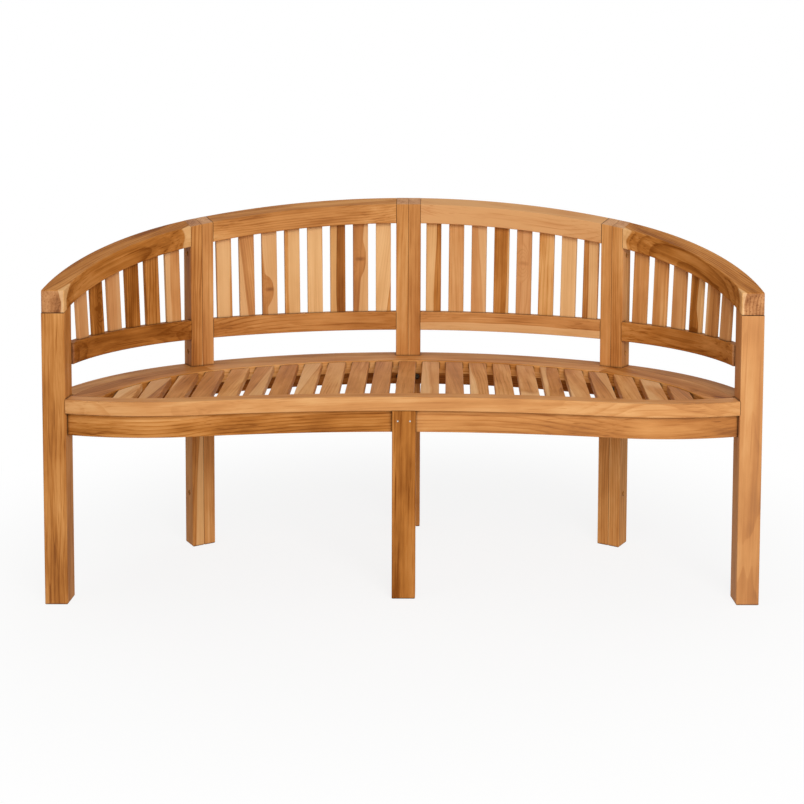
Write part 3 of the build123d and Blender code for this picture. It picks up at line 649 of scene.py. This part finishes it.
def grained(node):
    """A CAD node's boards, each with its own timber."""
    mesh = merged(node)
    points = np.array([v.co for v in mesh.vertices])
    layers = {name: np.zeros_like(points) for name in ("grain", "board", "along", "knot")}
    boards = [(own, *middle_and_fibres(mesh, own)) for own in boards_in(mesh)]
    boards.sort(key=lambda board: abs(board[1][0]))
    for number, (own, centre, fibres) in enumerate(boards):
        bark = towards_bark(picked_edge(node, number), centre, fibres)
        axes = np.array((fibres, bark, np.cross(fibres, bark)))
        local = (points[own] - centre) @ axes.T
        if any(word in node for word in CURVED):
            local = straightened(local)
        place, lean, look, knot = timber(node, number, np.ptp(local[:, 0]), local[:, 1].max())
        leaning = np.outer(local[:, 0], lean)
        leaning[:, 1:] += local[:, 1:]
        layers["grain"][own] = leaning + place
        layers["board"][own] = look
        layers["along"][own] = fibres
        layers["knot"][own] = local - knot
    for name, values in layers.items():
        store(mesh, name, values)
    mesh.materials.clear()
    mesh.materials.append(TEAK)
    piece = new_piece(f"{node}_teak", mesh)
    shade_flat_faces(piece)
    stand_for(piece, node)


for node in sorted(frame["nodes"]):
    if node not in STEEL_NODES and node not in SLAT_NODES:
        grained(node)

# %% [markdown]
# ## Slats of the back and arms
# Twenty-eight flat slats stand between the rails. They share one section and differ in length, because
# the top rails slope. That makes them a job for Geometry Nodes: a rounded rectangle is filled and
# extruded into a slat of unit height, set on one point for each slat, and stretched to its length.
# The points carry the lean and timber of each slat, read from the CAD model. At the end the tops are
# slid up or down their slats to the plane of the rails' slope, inside the mortises.

# %% Read the slats from the frame
def wide_face(mesh, board):
    """Direction that a flat board's wide faces look in."""
    own = set(board)
    faces = [face for face in mesh.polygons if face.vertices[0] in own]
    return max(faces, key=lambda face: face.area).normal


def read_slats(node):
    """Foot, width direction, rise and sizes of a node's slats, from the bench's middle outwards."""
    mesh = merged(node)
    slats = []
    for own in boards_in(mesh):
        points = np.array([mesh.vertices[i].co for i in own])
        thick = wide_face(mesh, own)
        thick = thick if thick @ Vector(points.mean(axis=0) - BENCH_MIDDLE) > 0 else -thick
        wide = Vector((thick.y, -thick.x, 0)).normalized()
        rise = wide.cross(thick)
        rise = rise if rise.z > 0 else -rise
        axes = np.array((wide, thick, rise))
        low = (points @ axes.T).min(axis=0)
        high = (points @ axes.T).max(axis=0)
        foot = np.array(((low[0] + high[0]) / 2, (low[1] + high[1]) / 2, low[2])) @ axes
        slats.append((foot, wide, rise, high - low))
    return sorted(slats, key=lambda slat: abs(slat[0][0]))


slat_sizes = np.array([row[3] for node in SLAT_NODES for row in read_slats(node)])
SLAT_WIDTH, SLAT_THICKNESS = np.median(slat_sizes[:, 0]), np.median(slat_sizes[:, 1])
print("slats:", len(slat_sizes), "width", round(SLAT_WIDTH / MM, 2),
      "thickness", round(SLAT_THICKNESS / MM, 2))

# %% One slat in Geometry Nodes
SLAT_EASE, EASE_STEPS = 2 * MM, 4


def tree_with(name, sockets):
    """A Geometry Nodes tree with named inputs, and the sockets that give them inside the tree."""
    tree = bpy.data.node_groups.new(name, "GeometryNodeTree")
    tree.interface.new_socket("Geometry", in_out="OUTPUT", socket_type="NodeSocketGeometry")
    tree.interface.new_socket("Geometry", in_out="INPUT", socket_type="NodeSocketGeometry")
    for label, kind in sockets:
        tree.interface.new_socket(label, in_out="INPUT", socket_type=f"NodeSocket{kind}")
    return tree, add(tree, "NodeGroupInput").outputs


def unit_slat(tree, given):
    """One slat of unit height with eased edges, whose points keep their own place as "local"."""
    outline = add(tree, "GeometryNodeCurvePrimitiveQuadrilateral",
                  {"Width": given["Width"], "Height": given["Thickness"]})
    rounded = add(tree, "GeometryNodeFilletCurve",
                  {"Curve": outline.outputs[0], "Radius": given["Ease"], "Count": EASE_STEPS},
                  mode="POLY")
    foot = add(tree, "GeometryNodeFillCurve", {0: rounded.outputs[0]}, mode="NGONS").outputs[0]
    body = add(tree, "GeometryNodeExtrudeMesh",
               {"Mesh": foot, "Offset": (0, 0, 1), "Offset Scale": 1.0, "Individual": False},
               mode="FACES")
    under = add(tree, "GeometryNodeFlipFaces", {0: foot})
    both = add(tree, "GeometryNodeJoinGeometry", {0: body.outputs[0]})
    tree.links.new(under.outputs[0], both.inputs[0])
    slat = add(tree, "GeometryNodeMergeByDistance",
               {"Geometry": both.outputs[0], "Distance": MERGE})
    here = add(tree, "GeometryNodeInputPosition").outputs[0]
    return add(tree, "GeometryNodeStoreNamedAttribute",
               {"Geometry": slat.outputs[0], "Name": "local", "Value": here},
               data_type="FLOAT_VECTOR").outputs[0]


print("slat edges eased by", round(SLAT_EASE / MM, 1), "mm")

# %% Cut the tops and find each point's place in the log
HALF_WAY_UP = 0.5


def cut_tops(tree, given, row, local, rise):
    """Tops slid along their slats to the sloping plane."""
    here = add(tree, "GeometryNodeInputPosition").outputs[0]
    spot = add(tree, "ShaderNodeSeparateXYZ", {0: here}).outputs
    upright = add(tree, "ShaderNodeSeparateXYZ", {0: rise}).outputs
    plane = add(tree, "ShaderNodeMath",
                {0: spot[1], 1: given["Top slope"], 2: given["Top height"]},
                operation="MULTIPLY_ADD")
    short = add(tree, "ShaderNodeMath", {0: plane.outputs[0], 1: spot[2]}, operation="SUBTRACT")
    lean = add(tree, "ShaderNodeMath", {0: upright[1], 1: given["Top slope"]}, operation="MULTIPLY")
    climb = add(tree, "ShaderNodeMath", {0: upright[2], 1: lean.outputs[0]}, operation="SUBTRACT")
    slide = add(tree, "ShaderNodeMath", {0: short.outputs[0], 1: climb.outputs[0]},
                operation="DIVIDE")
    move = add(tree, "ShaderNodeVectorMath", {0: rise, "Scale": slide.outputs[0]}, operation="SCALE")
    at_top = add(tree, "ShaderNodeMath", {0: local[2], 1: HALF_WAY_UP}, operation="GREATER_THAN")
    return add(tree, "GeometryNodeSetPosition",
               {"Geometry": row, "Selection": at_top.outputs[0],
                "Offset": move.outputs[0]}).outputs[0]


def in_the_log(tree, row, local, length, read):
    """The place of each point in its slat's log, and the way from its knot."""
    reach = add(tree, "ShaderNodeMath", {0: local[2], 1: length}, operation="MULTIPLY").outputs[0]
    within = add(tree, "ShaderNodeCombineXYZ", {1: local[0], 2: local[1]})
    leaning = add(tree, "ShaderNodeVectorMath", {0: read["lean"], "Scale": reach}, operation="SCALE")
    placed = add(tree, "ShaderNodeVectorMath", {0: within.outputs[0], 1: leaning.outputs[0]},
                 operation="ADD")
    placed = add(tree, "ShaderNodeVectorMath", {0: placed.outputs[0], 1: read["place"]},
                 operation="ADD")
    inside = add(tree, "ShaderNodeCombineXYZ", {0: reach, 1: local[0], 2: local[1]})
    from_knot = add(tree, "ShaderNodeVectorMath", {0: inside.outputs[0], 1: read["knot_place"]},
                    operation="SUBTRACT")
    for name, value in (("grain", placed), ("knot", from_knot)):
        row = add(tree, "GeometryNodeStoreNamedAttribute",
                  {"Geometry": row, "Name": name, "Value": value.outputs[0]},
                  data_type="FLOAT_VECTOR").outputs[0]
    return row


print("points above", HALF_WAY_UP, "of a unit slat belong to its top")

# %% Build the slat tree
SLAT_INPUTS = [(size, "Float") for size in ("Width", "Thickness", "Ease", "Top height", "Top slope")]
READ_VECTORS = ("turn", "local", "along", "lean", "place", "knot_place")


def slat_tree():
    """A row of slats on points, each stretched to its length, cut at its top and given its timber."""
    tree, given = tree_with("slat_row", [*SLAT_INPUTS, ("Wood", "Material")])
    slat = unit_slat(tree, given)
    read = {name: add(tree, "GeometryNodeInputNamedAttribute", {"Name": name},
                      data_type="FLOAT_VECTOR").outputs["Attribute"] for name in READ_VECTORS}
    length = add(tree, "GeometryNodeInputNamedAttribute", {"Name": "length"},
                 data_type="FLOAT").outputs["Attribute"]
    stretch = add(tree, "ShaderNodeCombineXYZ", {0: 1.0, 1: 1.0, 2: length})
    row = add(tree, "GeometryNodeInstanceOnPoints",
              {"Points": given["Geometry"], "Instance": slat,
               "Rotation": read["turn"], "Scale": stretch.outputs[0]})
    row = add(tree, "GeometryNodeRealizeInstances", {0: row.outputs[0]}).outputs[0]
    local = add(tree, "ShaderNodeSeparateXYZ", {0: read["local"]}).outputs
    row = cut_tops(tree, given, row, local, read["along"])
    row = in_the_log(tree, row, local, length, read)
    done = add(tree, "GeometryNodeSetMaterial", {"Geometry": row, "Material": given["Wood"]})
    add(tree, "NodeGroupOutput", {0: done.outputs[0]})
    return tree


SLAT_TREE = slat_tree()
print("slat tree nodes:", len(SLAT_TREE.nodes))

# %% Set the slat rows
FACING_UP = 0.9


def run_tree(name, points, tree, values):
    """A piece made by a Geometry Nodes tree on points, its inputs set by their sockets' identifiers."""
    piece = new_piece(name, points)
    modifier = piece.modifiers.new(tree.name, "NODES")
    modifier.node_group = tree
    for socket in tree.interface.items_tree:
        if socket.in_out == "INPUT" and socket.name in values:
            modifier[socket.identifier] = values[socket.name]
    plain(piece)
    shade_flat_faces(piece)
    return piece


def top_plane(node):
    """Height at y = 0 and slope along y of the plane that cuts a node's slat tops."""
    mesh = merged(node)
    tops = [f for f in mesh.polygons if f.normal.z > FACING_UP]
    face = max(tops, key=lambda f: f.area)
    slope = -face.normal.y / face.normal.z
    return face.center.z - face.center.y * slope, slope


def slat_row(node):
    """One row of slats in place of its CAD node."""
    slats = read_slats(node)
    mesh = bpy.data.meshes.new(f"{node}_points")
    mesh.from_pydata([foot for foot, *_ in slats], [], [])
    woods = [timber(node, i, slat[3][2], SLAT_WIDTH / 2) for i, slat in enumerate(slats)]
    turns = []
    for _, wide, rise, _ in slats:
        turns.append(Matrix((wide, rise.cross(wide), rise)).transposed().to_euler())
    store(mesh, "turn", turns)
    store(mesh, "along", [rise for _, _, rise, _ in slats])
    for name, values in zip(("place", "lean", "board", "knot_place"), zip(*woods)):
        store(mesh, name, values)
    lengths = mesh.attributes.new("length", "FLOAT", "POINT")
    lengths.data.foreach_set("value", [sizes[2] for *_, sizes in slats])
    height, slope = top_plane(node)
    values = {"Width": SLAT_WIDTH, "Thickness": SLAT_THICKNESS, "Ease": SLAT_EASE, "Wood": TEAK,
              "Top height": height, "Top slope": slope}
    piece = run_tree(f"{node}_teak", mesh, SLAT_TREE, values)
    stand_for(piece, node)
    print(node, "slats", len(slats), "faces", len(piece.data.polygons), "slope", round(slope, 3))


for node in SLAT_NODES:
    slat_row(node)

# %% [markdown]
# ## Screws in the centre leg
# Two pan-head screws hold the leg to the aprons, and the light catches their cross recesses. One screw
# is modelled in Geometry Nodes and set on the two points that the CAD model gives. Its head is a disc
# with a flat top and a rounded rim, a cross is cut out of it by a Boolean, and a shank stands behind.

# %% Head and shank of a screw
RECESS_WIDTH, RECESS_DEPTH = 0.8 * MM, 1.0 * MM
RECESS_SPAN = 0.5
HEAD_SIDES, HEAD_RINGS = 32, 12
HEAD_FLATNESS = 6.0


def pan_head(tree, given, half):
    """A disc whose top drops towards its rim."""
    radius = add(tree, "ShaderNodeMath", {0: given["Head"], 1: 0.5}, operation="MULTIPLY").outputs[0]
    disc = add(tree, "GeometryNodeMeshCylinder",
               {"Vertices": HEAD_SIDES, "Fill Segments": HEAD_RINGS, "Radius": radius,
                "Depth": given["Head height"]})
    here = add(tree, "GeometryNodeInputPosition").outputs[0]
    flat = add(tree, "ShaderNodeVectorMath", {0: here, 1: (1, 1, 0)}, operation="MULTIPLY")
    out = add(tree, "ShaderNodeVectorMath", {0: flat.outputs[0]}, operation="LENGTH")
    share = add(tree, "ShaderNodeMath", {0: out.outputs["Value"], 1: radius}, operation="DIVIDE")
    share = add(tree, "ShaderNodeMath", {0: share.outputs[0], 1: HEAD_FLATNESS}, operation="POWER")
    drop = add(tree, "ShaderNodeMath", {0: share.outputs[0], 1: half}, operation="MULTIPLY")
    down = add(tree, "ShaderNodeVectorMath", {0: (0, 0, -1), "Scale": drop.outputs[0]},
               operation="SCALE")
    high = add(tree, "ShaderNodeSeparateXYZ", {0: here}).outputs[2]
    on_top = add(tree, "ShaderNodeMath", {0: high, 1: 0.0}, operation="GREATER_THAN")
    return add(tree, "GeometryNodeSetPosition",
               {"Geometry": disc.outputs[0], "Selection": on_top.outputs[0],
                "Offset": down.outputs[0]}).outputs[0]


def cross_cut(tree, given, half, head):
    """The head with two crossed bars cut out of its top."""
    span = add(tree, "ShaderNodeMath", {0: given["Head"], 1: RECESS_SPAN},
               operation="MULTIPLY").outputs[0]
    cross = add(tree, "GeometryNodeMeshBoolean", {"Mesh 1": head}, operation="DIFFERENCE")
    lift = add(tree, "ShaderNodeCombineXYZ", {2: half})
    for first, second in ((span, RECESS_WIDTH), (RECESS_WIDTH, span)):
        size = add(tree, "ShaderNodeCombineXYZ", {0: first, 1: second, 2: 2 * RECESS_DEPTH})
        bar = add(tree, "GeometryNodeMeshCube", {"Size": size.outputs[0]})
        bar = add(tree, "GeometryNodeTransform",
                  {"Geometry": bar.outputs[0], "Translation": lift.outputs[0]})
        tree.links.new(bar.outputs[0], cross.inputs["Mesh 2"])
    return cross.outputs[0]


def shank_behind(tree, given, half):
    """A plain shank that starts at the back of the head."""
    radius = add(tree, "ShaderNodeMath", {0: given["Shank"], 1: 0.5}, operation="MULTIPLY").outputs[0]
    shank = add(tree, "GeometryNodeMeshCylinder",
                {"Vertices": HEAD_SIDES, "Radius": radius, "Depth": given["Length"]})
    back = add(tree, "ShaderNodeMath", {0: given["Length"], 1: -0.5}, operation="MULTIPLY")
    back = add(tree, "ShaderNodeMath", {0: back.outputs[0], 1: half}, operation="SUBTRACT")
    shift = add(tree, "ShaderNodeCombineXYZ", {2: back.outputs[0]})
    return add(tree, "GeometryNodeTransform",
               {"Geometry": shank.outputs[0], "Translation": shift.outputs[0]}).outputs[0]


print("cross recess:", round(RECESS_WIDTH / MM, 1), "mm wide,", round(RECESS_DEPTH / MM, 1), "mm deep")

# %% Build the screw tree
SCREW_INPUTS = [(size, "Float") for size in ("Head", "Head height", "Shank", "Length")]
TO_THE_FRONT = (math.radians(90), 0, 0)


def screw_tree():
    """A cross-head screw on each point, facing the front."""
    tree, given = tree_with("cross_head_screw", [*SCREW_INPUTS, ("Metal", "Material")])
    half = add(tree, "ShaderNodeMath", {0: given["Head height"], 1: 0.5},
               operation="MULTIPLY").outputs[0]
    head = cross_cut(tree, given, half, pan_head(tree, given, half))
    screw = add(tree, "GeometryNodeJoinGeometry", {0: head})
    tree.links.new(shank_behind(tree, given, half), screw.inputs[0])
    set_in = add(tree, "GeometryNodeInstanceOnPoints",
                 {"Points": given["Geometry"], "Instance": screw.outputs[0],
                  "Rotation": TO_THE_FRONT})
    real = add(tree, "GeometryNodeRealizeInstances", {0: set_in.outputs[0]})
    done = add(tree, "GeometryNodeSetMaterial",
               {"Geometry": real.outputs[0], "Material": given["Metal"]})
    add(tree, "NodeGroupOutput", {0: done.outputs[0]})
    return tree


SCREW_TREE = screw_tree()
print("screw tree nodes:", len(SCREW_TREE.nodes))

# %% Set the screws, and finish the bolts and nuts
def set_leg_screws():
    """Screws on the leg's front face, with the sizes of the CAD screws, which are all alike."""
    mesh = merged("leg_screws")
    leg_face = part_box("centre_front_leg")[0].y
    middles = []
    for own in boards_in(mesh):
        points = np.array([mesh.vertices[i].co for i in own])
        low, high = points.min(axis=0), points.max(axis=0)
        head_height = leg_face - low[1]
        middles.append(((low[0] + high[0]) / 2, leg_face - head_height / 2, (low[2] + high[2]) / 2))
    shank = points[points[:, 1] > leg_face + MM]
    values = {"Head": high[0] - low[0], "Head height": head_height, "Length": high[1] - leg_face,
              "Shank": shank[:, 0].max() - shank[:, 0].min(), "Metal": STEEL}
    heads = bpy.data.meshes.new("leg_screw_points")
    heads.from_pydata(middles, [], [])
    piece = run_tree("leg_screws_steel", heads, SCREW_TREE, values)
    stand_for(piece, "leg_screws")
    print("screws:", len(middles), "faces", len(piece.data.polygons))


set_leg_screws()
for node in STEEL_NODES[1:]:
    frame["nodes"][node].data.materials.clear()
    # The coach screws take the steel painted dark as shade
    frame["nodes"][node].data.materials.append(SHADE_DARKENED_STEEL if "coach" in node else STEEL)
print("bolts, nuts and coach screws keep their CAD shapes:", STEEL_NODES[1:])

# %% [markdown]
# ## Floor, light and camera
# A plain pale floor and a white world stand for a studio sweep. Camera, glossy and transmission rays see
# the background as white, while the light that falls on the wood stays at a plain level. The floor mixes
# in a little of its lit paper near the bench, so it keeps the bench's shadow. One large soft lamp to the
# right and in front gives the faces their turn, and weaker ones fill from the left and from above.

# %% Floor and world
FLOOR_SIZE = 30.0
FLOOR_SHADOW = 0.16
SHADOW_NEAR, SHADOW_FAR = 0.5, 1.4
WORLD_STRENGTH = 0.3
PAPER = "#F4F3F1"
WHITE = (1, 1, 1, 1)


def seen_directly(tree):
    """1 for rays from the camera, and for those that metal or glass send on."""
    rays = add(tree, "ShaderNodeLightPath").outputs
    shiny = add(tree, "ShaderNodeMath", {0: rays["Is Camera Ray"], 1: rays["Is Glossy Ray"]},
                operation="MAXIMUM")
    return add(tree, "ShaderNodeMath", {0: shiny.outputs[0], 1: rays["Is Transmission Ray"]},
               operation="MAXIMUM").outputs[0]


def paper_sweep():
    """White paper that shows the bench's shadow near the bench and is plain white further out."""
    material = bpy.data.materials.new("white_paper_sweep")
    material.use_nodes = True
    tree = material.node_tree
    tree.nodes.clear()
    paper = add(tree, "ShaderNodeBsdfDiffuse", {"Color": srgb(PAPER)})
    white = add(tree, "ShaderNodeEmission", {"Color": WHITE, "Strength": 1.0})
    place = add(tree, "ShaderNodeTexCoord").outputs["Object"]
    away = add(tree, "ShaderNodeVectorMath", {0: place}, operation="LENGTH").outputs["Value"]
    fade = add(tree, "ShaderNodeMapRange",
               {"Value": away, "From Min": SHADOW_NEAR, "From Max": SHADOW_FAR,
                "To Min": 1 - FLOOR_SHADOW}, interpolation_type="SMOOTHSTEP")
    share = add(tree, "ShaderNodeMath", {0: seen_directly(tree), 1: fade.outputs[0]},
                operation="MULTIPLY")
    mixed = add(tree, "ShaderNodeMixShader",
                {0: share.outputs[0], 1: paper.outputs[0], 2: white.outputs[0]})
    add(tree, "ShaderNodeOutputMaterial", {"Surface": mixed.outputs[0]})
    return material


def studio_floor():
    """One large flat sheet under the bench."""
    shape = bmesh.new()
    bmesh.ops.create_grid(shape, x_segments=1, y_segments=1, size=FLOOR_SIZE / 2)
    mesh = bpy.data.meshes.new("studio_floor")
    shape.to_mesh(mesh)
    shape.free()
    mesh.materials.append(paper_sweep())
    floor = new_piece("studio_floor", mesh)


def studio_world():
    """Soft even light, seen as white."""
    world = bpy.data.worlds.new("studio")
    world.use_nodes = True
    tree = world.node_tree
    tree.nodes.clear()
    strength = add(tree, "ShaderNodeMapRange",
                   {"Value": seen_directly(tree), "To Min": WORLD_STRENGTH})
    back = add(tree, "ShaderNodeBackground", {"Color": WHITE, "Strength": strength.outputs[0]})
    add(tree, "ShaderNodeOutputWorld", {"Surface": back.outputs[0]})
    bpy.context.scene.world = world


studio_floor()
studio_world()
print("floor and world in place")

# %% Lamps
LAMPS = {
    # lamp: (place in metres, width in metres, watts)
    "key_front": ((0.9, -3.3, 1.9), 2.0, 92),
    "fill_left": ((-2.8, -2.4, 1.9), 2.4, 11),
    "top": ((0.0, 0.2, 3.4), 2.4, 14),
}
LAMP_TARGET = Vector((0, 0, 0.45))


def soft_lamp(name, place, width, watts):
    """A square area lamp turned to the bench."""
    light = bpy.data.lights.new(name, "AREA")
    light.size = width
    light.energy = watts
    lamp = bpy.data.objects.new(name, light)
    lamp.location = place
    lamp.rotation_euler = (LAMP_TARGET - Vector(place)).to_track_quat("-Z", "Y").to_euler()
    bpy.context.scene.collection.objects.link(lamp)


for name, (place, width, watts) in LAMPS.items():
    soft_lamp(name, place, width, watts)
print("lamps:", list(LAMPS))

# %% Camera
CAMERA_PLACE = Vector((0.0534, -2.755, 0.9938))
CAMERA_PITCH, CAMERA_YAW, CAMERA_ROLL = math.radians(3.5), math.radians(-0.55), math.radians(0.29)
FOCAL_PIXELS = 1210.3
FRAME_PIXELS = 804.0
AXIS_PIXEL = (441.7, 205.7)
SENSOR = 36.0


def studio_camera():
    """A camera fitted to the photograph, with its optical axis off the middle of the frame."""
    data = bpy.data.cameras.new("camera")
    data.sensor_width = SENSOR
    data.lens = SENSOR * FOCAL_PIXELS / FRAME_PIXELS
    data.shift_x = 0.5 - AXIS_PIXEL[0] / FRAME_PIXELS
    data.shift_y = AXIS_PIXEL[1] / FRAME_PIXELS - 0.5
    camera = bpy.data.objects.new("camera", data)
    camera.location = CAMERA_PLACE
    pitch = Matrix.Rotation(math.radians(90) - CAMERA_PITCH, 3, "X")
    level = Matrix.Rotation(CAMERA_YAW, 3, "Z") @ pitch
    camera.rotation_euler = (level @ Matrix.Rotation(CAMERA_ROLL, 3, "Z")).to_euler()
    bpy.context.scene.collection.objects.link(camera)
    bpy.context.scene.camera = camera
    return data


lens = studio_camera()
bpy.context.scene.view_settings.view_transform = "Standard"
print("lens", round(lens.lens, 1), "mm, shift", round(lens.shift_x, 3), round(lens.shift_y, 3))
